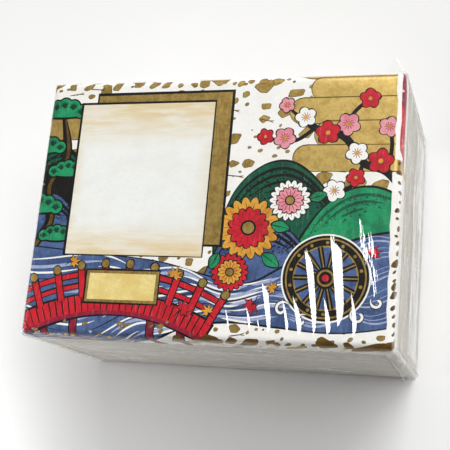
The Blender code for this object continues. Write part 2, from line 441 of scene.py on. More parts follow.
def make_fold_film():
    """The film where it is drawn into folds: more shine than the flat film, broken by fine crinkles."""
    material, tree, shader = new_material("creased_film")
    crinkle = add_noise(tree, add_place(tree), (900, 140, 400), 3)
    rough = add_math(tree, "MULTIPLY_ADD", crinkle, 0.12, 0.18)
    feed_inputs(tree, shader, Base_Color=(1, 1, 1, 1), Metallic=1, Roughness=rough, Alpha=0.024)
    add_bump(tree, shader, crinkle, 0.00003, 0.1)
    return material


card_stock = make_card_stock()
clear_film = make_film()
fold_film = make_fold_film()
milky_film = make_film_haze("milky_film_folds", (240, 238, 230), (252, 252, 250), 0.16, 0.48)
overlap_film = make_film_haze("film_overlap", (248, 248, 245), (255, 255, 253), 0.12, 0.54, (60, 60, 280))
# A dark line of painted shadow along the raised free edges of the pleats and end flaps
film_edge_painted_shadow_line = make_film_haze("film_edge_painted_shadow_lines", (128, 121, 110), (168, 161, 150), 0.12, 0.5)
# Near-opaque white for the wall creases: a painted highlight where a crease catches the light
film_crease_painted_highlight_line = make_film_haze("film_crease_painted_highlight_lines", (250, 250, 248), (255, 255, 255), 0.7, 0.95)


# Flat drawing of the print, in millimetres on the unfolded sheet, lowest shape first

drawing = []
hand = random.Random(20)

# Only a shape whose box is larger than this, in square millimetres, is tried as a cover of other shapes
COVER_BOX = 6


def sides(outline):
    """The two ends of each side of a closed outline."""
    return zip(outline, outline[1:] + outline[:1])


def doubled_area(outline):
    """Twice the area in an outline, below zero where it runs clockwise."""
    return sum(ax * by - bx * ay for (ax, ay), (bx, by) in sides(outline))


def lay(colour, outline):
    """Lays one flat shape of ink over what is drawn so far."""
    drawing.append((colour, outline[::-1] if doubled_area(outline) < 0 else outline))


def around(x, y, reach, angle):
    """The point at a reach and an angle from x, y."""
    return (x + reach * cos(angle), y + reach * sin(angle))


def turned(x, y, u, v, turn):
    """The point u along and v across a turned direction from x, y."""
    return (x + u * cos(turn) - v * sin(turn), y + u * sin(turn) + v * cos(turn))


def curve(knots, steps, closed=False):
    """Points of a smooth line through the knots."""
    count = len(knots)
    line = []
    for i in range(count if closed else count - 1):
        if closed:
            four = [knots[(i + k) % count] for k in (-1, 0, 1, 2)]
        else:
            four = [knots[min(max(i + k, 0), count - 1)] for k in (-1, 0, 1, 2)]
        for step in range(steps):
            t = step / steps
            point = []
            for a, b, c, d in zip(*four):
                bend = (c - a) * t + (2 * a - 5 * b + 4 * c - d) * t**2 + (3 * b - a - 3 * c + d) * t**3
                point.append(b + bend / 2)
            line.append(tuple(point))
    if not closed:
        line.append(knots[-1])
    return line


def brush(line, width, start, end):
    """Outline of a brush stroke along a line, narrower at its start and end."""
    left = []
    right = []
    last = len(line) - 1
    for i, (x, y) in enumerate(line):
        ax, ay = line[max(i - 1, 0)]
        bx, by = line[min(i + 1, last)]
        size = hypot(bx - ax, by - ay) or 1.0
        t = i / last
        half = width / 2 * min(1.0, start + 4 * t, end + 4 * (1 - t))
        side_x = (ay - by) / size * half
        side_y = (bx - ax) / size * half
        left.append((x + side_x, y + side_y))
        right.append((x - side_x, y - side_y))
    return right + left[::-1]


def grown(outline, reach):
    """The outline moved outwards, by a little more and less along the way as a brush line is."""
    count = len(outline)
    turn = 1 if doubled_area(outline) > 0 else -1
    phase = hand.uniform(0, 6)
    moved = []
    for i, (x, y) in enumerate(outline):
        ax, ay = outline[i - 1]
        bx, by = outline[(i + 1) % count]
        size = hypot(bx - ax, by - ay) or 1.0
        push = turn * reach * (1 + 0.35 * sin(phase + 11 * i / count))
        moved.append((x + (by - ay) / size * push, y - (bx - ax) / size * push))
    return moved


def outlined(colour, outline, line):
    """A shape of ink with a black brush line round it."""
    lay("black", grown(outline, line))
    lay(colour, outline)


def oval(x, y, half_x, half_y, turn=0.0, points=24):
    """Points of a turned ellipse."""
    angles = [2 * pi * i / points for i in range(points)]
    return [turned(x, y, half_x * cos(a), half_y * sin(a), turn) for a in angles]


def disc(x, y, radius, points=24):
    """Points of a circle."""
    return oval(x, y, radius, radius, 0.0, points)


def ring_part(x, y, inner, outer, start, end, points=50):
    """Points of a part of a ring between two angles in degrees."""
    angles = [radians(start + (end - start) * i / points) for i in range(points + 1)]
    return [around(x, y, outer, a) for a in angles] + [around(x, y, inner, a) for a in reversed(angles)]


def panel(left, low, right, high, uneven=0.0):
    """Corners of an upright rectangle with slightly uneven corners."""
    corners = [(left, low), (right, low), (right, high), (left, high)]
    return [(x + hand.uniform(-uneven, uneven), y + hand.uniform(-uneven, uneven)) for x, y in corners]


def flake(x, y, size, colour="gold"):
    """One torn piece of gold leaf, longer than it is wide, with a dark rim."""
    corners = hand.randint(4, 6)
    turn = hand.gauss(0.35, 0.35)
    knots = []
    for k in range(corners):
        a = 2 * pi * (k + hand.uniform(-0.3, 0.3)) / corners
        u = size * cos(a) * hand.uniform(0.95, 1.5)
        v = size * sin(a) * hand.uniform(0.55, 1.0)
        knots.append(turned(x, y, u, v, turn))
    cut = 0.1 if size > 1.2 else 0.24
    outline = []
    for (ax, ay), (bx, by) in sides(knots):
        for part in (cut, 1 - cut):
            outline.append((ax + (bx - ax) * part, ay + (by - ay) * part))
    lay("dark_gold", grown(outline, 0.1 + 0.04 * size))
    if size > 0.4:
        lay(colour, outline)


def gold_needle(x, y, reach, turn):
    """A cut thread of gold leaf with a forked end."""
    ends = [around(x, y, k * reach, turn) for k in (-1, -0.5, 0, 0.5, 1)]
    lay("dark_gold", brush(ends, 0.34, 0.4, 0.6))
    for spread in (-0.4, 0.4):
        tip = around(*ends[-1], 0.8, turn + spread)
        middle = ((ends[-2][0] + 3 * tip[0]) / 4, (ends[-2][1] + 3 * tip[1]) / 4)
        lay("dark_gold", brush([ends[-2], middle, tip], 0.28, 0.5, 0.5))


def gold_flakes():
    """Torn gold leaf strewn over the white ground: pieces, dots and needles."""
    taken = []
    for low, high, count in ((2.0, 3.1, 150), (1.0, 1.7, 270), (0.45, 0.7, 1800), (0.15, 0.25, 480)):
        for _ in range(count):
            x = hand.uniform(-66, 66)
            y = hand.uniform(-51, 51)
            size = hand.uniform(low, high)
            room = 0.35 if size > 0.8 else 1.1
            if any(hypot(x - a, y - b) < (size + r) * 1.2 + room for a, b, r in taken):
                continue
            taken.append((x, y, size))
            flake(x, y, size)
    for _ in range(52):
        x = hand.uniform(-64, 64)
        y = hand.uniform(-50, 50)
        gold_needle(x, y, hand.uniform(1.4, 3.0), hand.uniform(-0.4, 0.25))


def margins():
    """The white margins at the right and in front, where the picture stops, and their gold leaf; on the
    rounded edges the leaf is laid in darker golds as painted shade.
    """
    inner = [(54.7 + hand.uniform(-0.3, 0.4), y) for y in range(-50, 13, 4)]
    lay("ground", inner + [(68, 12), (68, -52)])
    # Leaf on the right rounded edge, laid in dark gold as painted shade where the edge turns away from the
    # light
    y = 13.0
    while y > -37:
        size = hand.choice((0.6, 0.8, 1.0, 1.4))
        flake(57.2 + hand.uniform(-0.7, 0.5), y, size, "dark_gold")
        y -= size * 1.2 + hand.uniform(0.9, 2.2)
    ragged = [(55.1 + hand.uniform(-0.5, 0.3), y) for y in range(14, 53, 3)]
    lay("ground", ragged + [(68, 52), (68, 14)])
    band = [(56.4 + hand.uniform(-0.2, 0.2), y) for y in range(17, 53, 3)]
    lay("red", [(59, 13)] + band + [(61, 52), (61, 13)])
    lay("crimson", [(x, y + 14) for x, y in band if y < 38] + [(61, 52), (61, 31)])
    # Leaf along the front rounded edge, in the darker gold that paints the shade where the edge turns away
    # from the light
    x = -6.0
    while x < 46:
        size = hand.choice((0.5, 0.7, 0.9, 1.3, 2.0, 2.6))
        flake(x, -41.2 - hand.uniform(-0.4, 0.3) * size, size, "gold_in_painted_shade")
        x += size * 1.5 + hand.uniform(1.2, 3.0)
    # Two large pieces at the front right corner, in the same painted-shade gold
    for x, y, size in ((50.5, -42.0, 3.4), (56.0, -41.0, 2.8)):
        flake(x, y, size, "gold_in_painted_shade")


def back_margin():
    """Gold leaf along the back edge, behind the slip."""
    x = -56.0
    while x < 26:
        size = hand.choice((0.4, 0.5, 0.7, 1.0, 1.6, 2.1))
        flake(x, 38.4 + size * 0.5 + hand.uniform(0.0, 0.9), size)
        x += size * 2.3 + hand.uniform(0.5, 2.2)


def gold_mist(left, right, y, height):
    """A bank of gold mist with round ends."""
    line = []
    for end, start in ((left, pi / 2), (right, -pi / 2)):
        line += [around(end, y, height / 2, start + pi * k / 10) for k in range(11)]
    lay("dark_gold", grown(line, 0.3))
    lay("worn_gold", line)


def hill(knots, colour, shade):
    """A rounded hill with brush lines that follow its slope, and dots of moss along them."""
    crest = curve(knots, 10)
    foot = min(y for _, y in crest) - 6
    outlined(colour, crest + [(crest[-1][0], foot), (crest[0][0], foot)], 0.55)
    for k in (1, 2, 3, 4):
        inner = [(x + 0.4 * k, y - 2.1 * k) for x, y in crest[5 * k : -6 * k]]
        if len(inner) > 4:
            lay(shade, brush(inner, 0.9, 0.1, 0.1))
            for x, y in inner:
                for _ in range(2):
                    dot = hand.uniform(0.12, 0.32)
                    place = (x + hand.gauss(0, 0.9), y + hand.gauss(-0.8, 0.6))
                    lay(shade, oval(*place, dot * 1.3, dot, 0.4, 7))


def pine_bough(x, y, width):
    """A flat-bottomed cushion of pine needles."""
    lobes = 5
    height = width * 0.36
    fans = []
    for k in range(lobes):
        t = (k + 0.5) / lobes
        fans.append((x + (t - 0.5) * width, y + height * sin(pi * t) * 0.62, width / lobes * 0.74))
    for fx, fy, size in fans:
        lay("black", disc(fx, fy, size + 0.5))
    lay("black", oval(x, y, width / 2, 1.6))
    lay("green", oval(x, y + 0.3, width / 2 - 0.5, 1.2))
    for fx, fy, size in fans:
        lay("green", disc(fx, fy, size))
        for k in range(9):
            a = radians(10 + 20 * k)
            tip = (fx + size * 0.95 * cos(a), fy + size * 0.95 * sin(a) - size * 0.3)
            line = [(fx, fy - size * 0.5), ((fx + tip[0]) / 2, (fy + tip[1]) / 2), tip]
            lay("deep_green" if k % 2 else "black", brush(line, 0.34, 0.6, 0.2))


def blossom(x, y, size, colour):
    """A five-petalled flower with a ring of stamens."""
    turn = hand.uniform(0, 2 * pi)
    petals = []
    for a in [turn + 2 * pi * k / 5 for k in range(5)]:
        petals.append(oval(*around(x, y, size * 0.55, a), size * 0.5, size * 0.44, a, 14))
    for petal in petals:
        lay("black", grown(petal, 0.32))
    for petal in petals:
        lay(colour, petal)
    for a in [turn + 2 * pi * k / 10 for k in range(10)]:
        lay("crimson", brush([around(x, y, size * r, a) for r in (0, 0.25, 0.5)], 0.22, 0.8, 0.8))
    lay("amber", disc(x, y, size * 0.2, 10))


def chrysanthemum(x, y, size, colour, tip_colour):
    """A round chrysanthemum with two rings of petals, the inner one turned by half a petal."""
    rings = ((18, 0.0, 0.3, 1.0, colour), (14, 0.5, 0.15, 0.66, tip_colour))
    for count, shift, inner, outer, shade in rings:
        angles = [2 * pi * (k + shift) / count for k in range(count)]
        middle = size * (inner + outer) / 2
        long = size * (outer - inner) / 2
        wide = size * outer * pi / count * 0.86
        petals = [oval(*around(x, y, middle, a), long, wide, a, 16) for a in angles]
        for petal in petals:
            lay("black", grown(petal, 0.3))
        for a, petal in zip(angles, petals):
            lay(shade, petal)
            rib = [around(x, y, size * r, a) for r in (inner, outer * 0.7, outer * 0.85)]
            lay("crimson", brush(rib, 0.2, 0.9, 0.2))
    lay("black", disc(x, y, size * 0.25))
    lay("gold", disc(x, y, size * 0.19))


def leaf(x, y, size, turn):
    """A pointed green leaf with a middle rib."""
    tip = around(x, y, size, turn)
    side = (-sin(turn) * size * 0.3, cos(turn) * size * 0.3)
    middle = around(x, y, size * 0.45, turn)
    left = (middle[0] + side[0], middle[1] + side[1])
    right = (middle[0] - side[0], middle[1] - side[1])
    outlined("green", curve([(x, y), left, tip, right], 6, True), 0.35)
    lay("black", brush([(x, y), middle, tip], 0.3, 0.8, 0.1))


def maple_leaf(x, y, size, turn, colour):
    """A seven-pointed maple leaf with its stalk."""
    knots = []
    for k, reach in enumerate((0.55, 0.8, 0.95, 1.0, 0.95, 0.8, 0.55)):
        a = turn + radians(-126 + 42 * k)
        knots.append(around(x, y, size * reach, a))
        if k < 6:
            knots.append(around(x, y, size * 0.4, a + radians(21)))
    back = turn + pi
    knots.append(around(x, y, size * 0.15, back))
    outlined(colour, knots, 0.3)
    stalk = [(x, y), around(x, y, size * 0.5, back), around(x, y, size, back + 0.2)]
    lay("black", brush(stalk, 0.35, 0.8, 0.6))


def cart_wheel(x, y, size):
    """A black lacquered cart wheel with gold lines."""
    rim = (("ground", -0.5), ("black", 0), ("gold", 0.7), ("black", 1.2), ("gold", 3.0), ("blue", 3.5))
    for colour, inset in rim:
        lay(colour, disc(x, y, size - inset, 48))
    for k in range(14):
        a = 2 * pi * k / 14
        ends = [around(x, y, r, a) for r in (1.5, size / 2, size - 3.2)]
        lay("black", brush(ends, 1.6, 0.7, 1.0))
        lay("gold", brush(ends, 0.4, 0.7, 1.0))
        lay("gold", disc(*around(x, y, size - 2.1, a + pi / 14), 0.5, 10))
    for colour, radius in (("black", 3.2), ("gold", 2.5), ("black", 1.9), ("red", 1.0)):
        lay(colour, disc(x, y, radius))


# Knots of the stream's banks, from the right to the left, in millimetres
UPPER_BANK = [
    (64, -7), (50, -9), (38, -13), (26, -18), (14, -24), (2, -22), (-14, -18), (-34, -16), (-67, -13),
]
LOWER_BANK = [
    (64, -33), (50, -36), (38, -37), (24, -36), (10, -35), (-4, -37), (-18, -44), (-36, -53), (-67, -57),
]
upper_bank_line = curve(UPPER_BANK, 12)
lower_bank_line = curve(LOWER_BANK, 12)


def stream_point(t, across):
    """A point of the stream, t along it and across it from the upper bank, both from 0 to 1."""
    place = t * (len(upper_bank_line) - 1)
    i = min(int(place), len(upper_bank_line) - 2)
    part = place - i
    ends = []
    for line in (upper_bank_line, lower_bank_line):
        ends.append([a + (b - a) * part for a, b in zip(line[i], line[i + 1])])
    return tuple(a + (b - a) * across for a, b in zip(*ends))


def stream():
    """A winding stream with white, pale and dark ripples."""
    outlined("blue", upper_bank_line + lower_bank_line[::-1], 0.55)
    across = 0.05
    row = 0
    while across < 0.97:
        colour, width = (("ground", 0.5), ("pale_blue", 1.0), ("ground", 0.65), ("black", 0.3))[row % 4]
        t = hand.uniform(0.0, 0.06)
        while t < 0.97:
            reach = hand.uniform(0.08, 0.2)
            line = []
            for k in range(25):
                s = min(t + reach * k / 24, 1.0)
                line.append(stream_point(s, across + 0.05 * sin(34 * s + 5 * across)))
            if t > 0.42 or row % 4 != 2:
                lay("pale_blue" if t < 0.34 else colour, brush(line, width * min(1.0, 0.45 + t), 0.1, 0.1))
            t += reach + hand.uniform(0.01, 0.05)
        across += hand.uniform(0.04, 0.062)
        row += 1


def foam_curl(x, y, size, turn):
    """A curled wave crest."""
    line = [around(x, y, size * (1 - 0.8 * t), turn + 5.2 * t) for t in [k / 25 for k in range(26)]]
    lay("black", brush(line, 1.3, 0.2, 0.5))
    lay("ground", brush(line, 0.75, 0.1, 0.5))


def arched_bridge(x, y, size, half_angle):
    """A red arched bridge with a railing and dark piles; x, y is the middle of its arc."""
    start = 90 - half_angle
    end = 90 + half_angle
    for k in (0.14, 0.3, 0.7, 0.86):
        foot, top = around(x, y, size, radians(start + (end - start) * k))
        outlined("crimson", panel(foot - 1.0, top - 16, foot + 1.0, top), 0.4)
    outlined("red", ring_part(x, y, size - 3.4, size + 3.0, start, end), 0.6)
    lay("crimson", ring_part(x, y, size - 3.4, size - 2.2, start, end))
    planks = 30
    for k in range(1, planks):
        a = radians(start + (end - start) * k / planks)
        ends = [around(x, y, r, a) for r in (size - 2.1, size + 0.6, size + 3.0)]
        lay("black", brush(ends, hand.uniform(0.25, 0.5), 0.8, 0.8))
    for low, high in ((5.4, 6.6), (8.8, 10.2)):
        outlined("red", ring_part(x, y, size + low, size + high, start + 0.5, end - 0.5), 0.4)
    posts = 10
    for k in range(posts):
        a = radians(start + 1 + (end - start - 2) * k / (posts - 1))
        post = []
        for r, s in ((2.4, -0.9), (11.4, -0.9), (11.4, 0.9), (2.4, 0.9)):
            post.append(turned(x, y, size + r, s, a))
        outlined("red", post, 0.4)
        outlined("gold", oval(*around(x, y, size + 12.3, a), 1.3, 1.2, a, 14), 0.35)


def plum_branch():
    """A gnarled black branch with flowers."""
    trunk = curve([(60, 2), (53, 10), (46, 13), (40, 21), (31, 24), (22, 31)], 8)
    lay("black", brush(trunk, 2.4, 1.0, 0.15))
    for knots in (
        [(46, 13), (43, 6), (36, 3)],
        [(40, 21), (42, 28), (48, 34)],
        [(31, 24), (25, 20), (17, 21)],
        [(53, 10), (54, 19), (52, 27)],
    ):
        lay("black", brush(curve(knots, 8), 1.2, 1.0, 0.15))
    for x, y, size, colour in (
        (51, 13.5, 3.6, "red"),
        (44, 16, 3.2, "ground"),
        (41, 25, 3.4, "pink"),
        (47, 33, 3.0, "red"),
        (35, 22.5, 3.5, "red"),
        (28, 27.5, 3.1, "ground"),
        (22, 21, 3.2, "pink"),
        (16, 21.5, 2.4, "red"),
        (22, 31.5, 2.3, "pink"),
        (53, 24, 3.0, "pink"),
        (38, 4.5, 3.2, "ground"),
        (44, 8.5, 2.6, "red"),
    ):
        blossom(x, y, size, colour)


def side_pine():
    """A pine before dark hills at the left margin."""
    hill([(-66, 4), (-58, 16), (-50, 19), (-42, 12), (-38, 2)], "black", "deep_green")
    hill([(-66, -10), (-59, 0), (-51, 3), (-43, -4), (-38, -12)], "blue", "black")
    trunk = curve([(-60, -18), (-52, -6), (-54, 6), (-49, 16), (-52, 30)], 8)
    lay("black", brush(trunk, 3.2, 1.0, 0.3))
    lay("dark_gold", brush([(x + 0.4, y) for x, y in trunk], 1.2, 0.8, 0.2))
    for x, y, width in ((-52, 30, 15), (-57, 18, 13), (-48, 10, 12), (-56, -2, 14), (-49, -11, 11)):
        pine_bough(x, y, width)


def draw_print():
    """Lays the whole design, from the white ground up to the bare slip and label."""
    gold_flakes()
    for left, right, y, height in (
        (30, 67, 46.5, 13),
        (33, 66, 36.5, 7.5),
        (27, 66, 29.5, 8),
        (35, 66, 22, 8),
        (29, 66, 14.5, 8),
        (-66, -46, 25, 7),
        (-66, -51, 31, 5),
    ):
        gold_mist(left, right, y, height)
    hill([(3, -12), (8, 4), (16, 12), (25, 13), (34, 6), (42, -6), (46, -12)], "deep_green", "black")
    hill([(28, -12), (35, -1), (44, 5), (54, 4), (64, -4)], "green", "deep_green")
    hill([(0, -24), (6, -10), (14, -4), (23, -6), (31, -14), (35, -22)], "blue", "black")
    side_pine()
    stream()
    plum_branch()
    cart_wheel(37, -21.5, 12.5)
    foam_curl(25, -31, 2.6, 0.5)
    foam_curl(31, -34, 2.0, 1.0)
    foam_curl(47, -32, 2.6, 2.2)
    foam_curl(52, -28, 2.0, 2.6)
    arched_bridge(-27, -93, 62, 29)
    chrysanthemum(13, -7, 9.5, "amber", "red")
    chrysanthemum(25, 1.5, 6.2, "ground", "pink")
    chrysanthemum(8.5, -20.5, 5.6, "red", "amber")
    leaf(18, -15, 6, -0.6)
    leaf(20, -6, 5.5, -0.2)
    leaf(4.5, -15, 5, -2.0)
    leaf(31, 2, 5, 0.3)
    for x, y, size, turn, colour in (
        (-5, -32, 3.4, 0.6, "red"),
        (3, -32.5, 2.6, 2.2, "amber"),
        (-8.5, -22, 3.2, 1.2, "amber"),
        (16, -30, 3.2, 4.0, "red"),
        (22, -25, 2.6, 2.7, "amber"),
        (-42, -18.5, 2.7, 0.2, "amber"),
        (50, -14, 3.0, 1.0, "red"),
    ):
        maple_leaf(x, y, size, turn, colour)
    margins()
    for _ in range(30):
        flake(hand.uniform(-57, -8), hand.uniform(-46, -36), hand.uniform(0.3, 1.0))
    lay("black", panel(-40.8, -12.9, 5.3, 37.0, 0.15))
    lay("gold", panel(-40.2, -12.2, 4.5, 36.2, 0.15))
    lay("black", panel(SLIP_LEFT - 0.8, SLIP_LOW - 0.5, SLIP_RIGHT + 0.4, SLIP_TOP + 0.7, 0.15))
    lay("slip", panel(SLIP_LEFT, SLIP_LOW, SLIP_RIGHT, SLIP_TOP, 0.15))
    lay("black", panel(-37.3, -31.3, -12.9, -20.5, 0.1))
    lay("gold", panel(-36.8, -30.8, -13.4, -21.0, 0.1))
    lay("label", panel(-35.9, -29.9, -14.3, -21.9, 0.1))
    back_margin()


def is_inside(x, y, outline):
    """Whether a point lies inside an outline."""
    crossings = 0
    for (ax, ay), (bx, by) in sides(outline):
        if (ay > y) != (by > y) and x < ax + (y - ay) * (bx - ax) / (by - ay):
            crossings += 1
    return crossings % 2 == 1


def shapes_in_sight():
    """The drawing without the shapes that one larger shape, laid over them, hides whole."""
    covers = []
    kept = []
    for colour, outline in reversed(drawing):
        left, right = min(x for x, _ in outline), max(x for x, _ in outline)
        low, high = min(y for _, y in outline), max(y for _, y in outline)
        hidden = False
        for cover_left, cover_right, cover_low, cover_high, cover in covers:
            if left > cover_left and right < cover_right and low > cover_low and high < cover_high:
                hidden = hidden or all(is_inside(x, y, cover) for x, y in outline)
        if hidden:
            continue
        kept.append((colour, outline))
        if (right - left) * (high - low) > COVER_BOX:
            covers.append((left, right, low, high, outline))
    return kept[::-1]


# Printed sheet


def fold_point(u, v):
    """Where a point of the flat sheet lies once its margins are carried over the lid's rounded edge."""
    over = max(abs(u) - FLAT_X, abs(v) - FLAT_Y, 0.0)
    if over == 0:
        return Vector((u, v, SHEET_TOP)) * MM
    angle = min(over / EDGE_RADIUS, pi / 2)
    out = EDGE_RADIUS * sin(angle)
    drop = EDGE_RADIUS * (1 - cos(angle)) + max(0.0, over - EDGE_ARC)
    half_x = FLAT_X + out
    half_y = FLAT_Y + out
    x = u * half_x / (FLAT_X + over)
    y = v * half_y / (FLAT_Y + over)
    radius = max(0.05, CORNER_RADIUS - EDGE_RADIUS + out)
    corner_x = abs(x) - half_x + radius
    corner_y = abs(y) - half_y + radius
    if corner_x > 0 and corner_y > 0:
        size = hypot(corner_x, corner_y)
        x = (half_x - radius + corner_x / size * radius) * (1 if x > 0 else -1)
        y = (half_y - radius + corner_y / size * radius) * (1 if y > 0 else -1)
    return Vector((x, y, SHEET_TOP - drop)) * MM


def make_print_sheet():
    """The sheet as one mesh whose faces carry the inks, cut where shapes and folds meet."""
    draw_print()
    points = []
    faces = []
    colours = []
    edges = []

    def add_shape(colour, outline):
        first = len(points)
        points.extend(Vector(p) for p in outline)
        faces.append(list(range(first, len(points))))
        colours.append(colour)
        return first

    overs = [EDGE_ARC + SKIRT] + [EDGE_ARC * k / FOLD_STEPS for k in range(FOLD_STEPS, -1, -1)]
    last_corner = None
    for over in overs:
        near = [CORNER_RADIUS * part for part in (0.35, 0.7, 1.1)]
        half_x = FLAT_X + over
        half_y = FLAT_Y + over
        side = [(half_x, half_y - n) for n in reversed(near)]
        corner = side + [(half_x, half_y)] + [(half_x - n, half_y) for n in near]
        outline = corner + [(-x, y) for x, y in reversed(corner)]
        outline += [(-x, -y) for x, y in corner] + [(x, -y) for x, y in reversed(corner)]
        first = add_shape("ground", outline)
        if last_corner is not None:
            corner_tips = range(len(near), len(outline), len(corner))
            edges += [(last_corner + k, first + k) for k in corner_tips]
        last_corner = first
    for colour, outline in shapes_in_sight():
        add_shape(colour, outline)
    flat, _, triangles, _, _, sources = delaunay_2d_cdt(points, edges, faces, 1, 1e-4)

    mesh = bpy.data.meshes.new("printed_lid_sheet")
    kept = [(t, max(s)) for t, s in zip(triangles, sources) if 0 in s]
    mesh.from_pydata([fold_point(p.x, p.y) for p in flat], [], [t for t, _ in kept])
    names = list(inks)
    for name in names:
        mesh.materials.append(inks[name])
    for face, (_, source) in zip(mesh.polygons, kept):
        face.material_index = names.index(colours[source])
    sheet = bpy.data.objects.new("printed_lid_sheet", mesh)
    bpy.context.scene.collection.objects.link(sheet)
    return sheet


# Helpers that make, select and join objects


def pick(objects):
    """Selects objects and makes the first one active."""
    bpy.ops.object.select_all(action="DESELECT")
    for obj in objects:
        obj.select_set(True)
    bpy.context.view_layer.objects.active = objects[0]


def add_grid(columns, rows, *materials):
    """A flat grid from -1 to 1 on both axes, with its materials."""
    bpy.ops.object.select_all(action="DESELECT")
    bpy.ops.mesh.primitive_grid_add(x_subdivisions=columns, y_subdivisions=rows, size=2)
    grid = bpy.context.object
    for material in materials:
        grid.data.materials.append(material)
    return grid


def mark_last_column(grid, columns):
    """Gives the last column of a grid its second material."""
    for number, face in enumerate(grid.data.polygons):
        face.material_index = 1 if number % columns == columns - 1 else 0


def face_outwards():
    """Turns the active mesh's faces outwards."""
    bpy.ops.object.mode_set(mode="EDIT")
    bpy.ops.mesh.select_all(action="SELECT")
    bpy.ops.mesh.normals_make_consistent(inside=False)
    bpy.ops.object.mode_set(mode="OBJECT")


def rename(obj, name):
    """Names an object and its mesh."""
    obj.name = name
    obj.data.name = name


def thicken(obj, thickness):
    """Gives a sheet its thickness, inwards."""
    pick([obj])
    solid = obj.modifiers.new("thickness", "SOLIDIFY")
    solid.thickness = thickness
    solid.offset = -1
    bpy.ops.object.modifier_apply(modifier=solid.name)


def join_film(pieces, name, thickness, angle):
    """Joins pieces of film into one, of a thickness in millimetres, smooth up to an angle in degrees."""
    pick(pieces)
    bpy.ops.object.join()
    joined = bpy.context.object
    rename(joined, name)
    thicken(joined, thickness * MM)
    face_outwards()
    bpy.ops.object.shade_smooth_by_angle(angle=radians(angle))
    joined.visible_shadow = False
    return joined


print_sheet = make_print_sheet()
thicken(print_sheet, SHEET_THICK * MM)
bpy.ops.object.shade_smooth_by_angle(angle=radians(40))
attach(print_sheet, "lid")
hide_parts("lid_print_sheet")


# Film sleeve

# Folds of the film on top, in millimetres: start x, y, end x, y, width of the lit flank, and where it is
# widest, as a part of its length
FILM_FOLDS = (
    (8.3, -31.3, 9.5, -36.6, 0.45, 0.7),
    (14.5, -30.6, 15.8, -36.8, 0.65, 0.7),
    (18.0, -34.0, 18.6, -36.5, 0.35, 0.7),
    (18.6, -23.6, 21.5, -37.8, 1.7, 0.3),
    (25.0, -28.0, 26.9, -37.4, 0.9, 0.75),
    (28.0, -27.0, 30.3, -38.0, 1.5, 0.7),
    (30.6, -13.7, 34.7, -38.0, 2.0, 0.2),
    (37.0, -27.2, 38.4, -37.6, 1.4, 0.75),
    (37.9, -10.4, 41.4, -35.4, 3.1, 0.18),
    (44.7, -25.6, 45.8, -37.4, 1.2, 0.75),
)

# Lines along which the film breaks into fine glints: start x, y, end x, y in millimetres, and their number
FILM_GLINTS = (
    (46.0, -3.4, 48.3, -17.5, 16),
    (48.8, -6.3, 51.3, -25.0, 20),
    (37.9, -8.6, 38.6, -11.0, 4),
    (30.7, -12.0, 31.2, -14.5, 3),
)


def film_lift(x, y):
    """How far the film stands off the print at a place on top, in millimetres."""
    return 0.05 * (1 + noise.noise(Vector((x * 0.08, y * 0.08, 3.0))))


def lit_slope(x, y, side):
    """The slope across a fold at which its left flank mirrors the strip lamp to the camera."""
    place = Vector((x * MM, y * MM, FILM_HIGH.z))
    half = (CAMERA_PLACE - place).normalized() + (STRIP_LAMP_PLACE - place).normalized()
    return -half.dot(side) / half.z


def make_film_fold(start_x, start_y, end_x, end_y, width, widest, seed, steps=26):
    """One fold: a long low tent, pointed at both ends, with a lit left flank and a steep right one."""
    start = Vector((start_x, start_y, 0))
    end = Vector((end_x, end_y, 0))
    along = (end - start).normalized()
    side = Vector((-along.y, along.x, 0))
    slope = lit_slope((start_x + end_x) / 2, (start_y + end_y) / 2, side)
    fold = add_grid(4, steps, fold_film)
    for vertex in fold.data.vertices:
        column = round((vertex.co.x + 1) * 2)
        t = (vertex.co.y + 1) / 2
        if t < widest:
            part = sin(pi / 2 * t / widest)
        else:
            fall = (t - widest) / (1 - widest)
            part = (1 - 0.3 * fall) * (1 - fall**9)
        wide = width * max(0.02, part * (1 + 0.12 * noise.noise(Vector((t * 4, seed, 1.0)))))
        across, height = ((0, 0), (0.5, 0.5), (1, 1), (1.2, 0.5), (1.4, 0))[column]
        place = start.lerp(end, t) + side * across * wide
        lift = film_lift(place.x, place.y) + 0.02 + slope * wide * height
        vertex.co = Vector((place.x * MM, place.y * MM, FILM_HIGH.z + lift * MM))
    return fold


def make_film_glints():
    """Short narrow folds strewn along their lines."""
    film_hand = random.Random(7)
    glints = []
    for start_x, start_y, end_x, end_y, count in FILM_GLINTS:
        for _ in range(count):
            t = film_hand.random()
            x = start_x + (end_x - start_x) * t + film_hand.gauss(0, 0.45)
            y = start_y + (end_y - start_y) * t
            reach = film_hand.uniform(2.0, 6.5)
            width = film_hand.uniform(0.1, 0.4)
            glints.append(make_film_fold(x, y, x + reach * 0.15, y - reach, width, 0.5, t * 50, 8))
    return glints


def make_film_folds():
    """All folds on top as one piece."""
    pieces = [make_film_fold(*fold, seed) for seed, fold in enumerate(FILM_FOLDS)] + make_film_glints()
    return join_film(pieces, "film_top_folds", 0.03, 12)


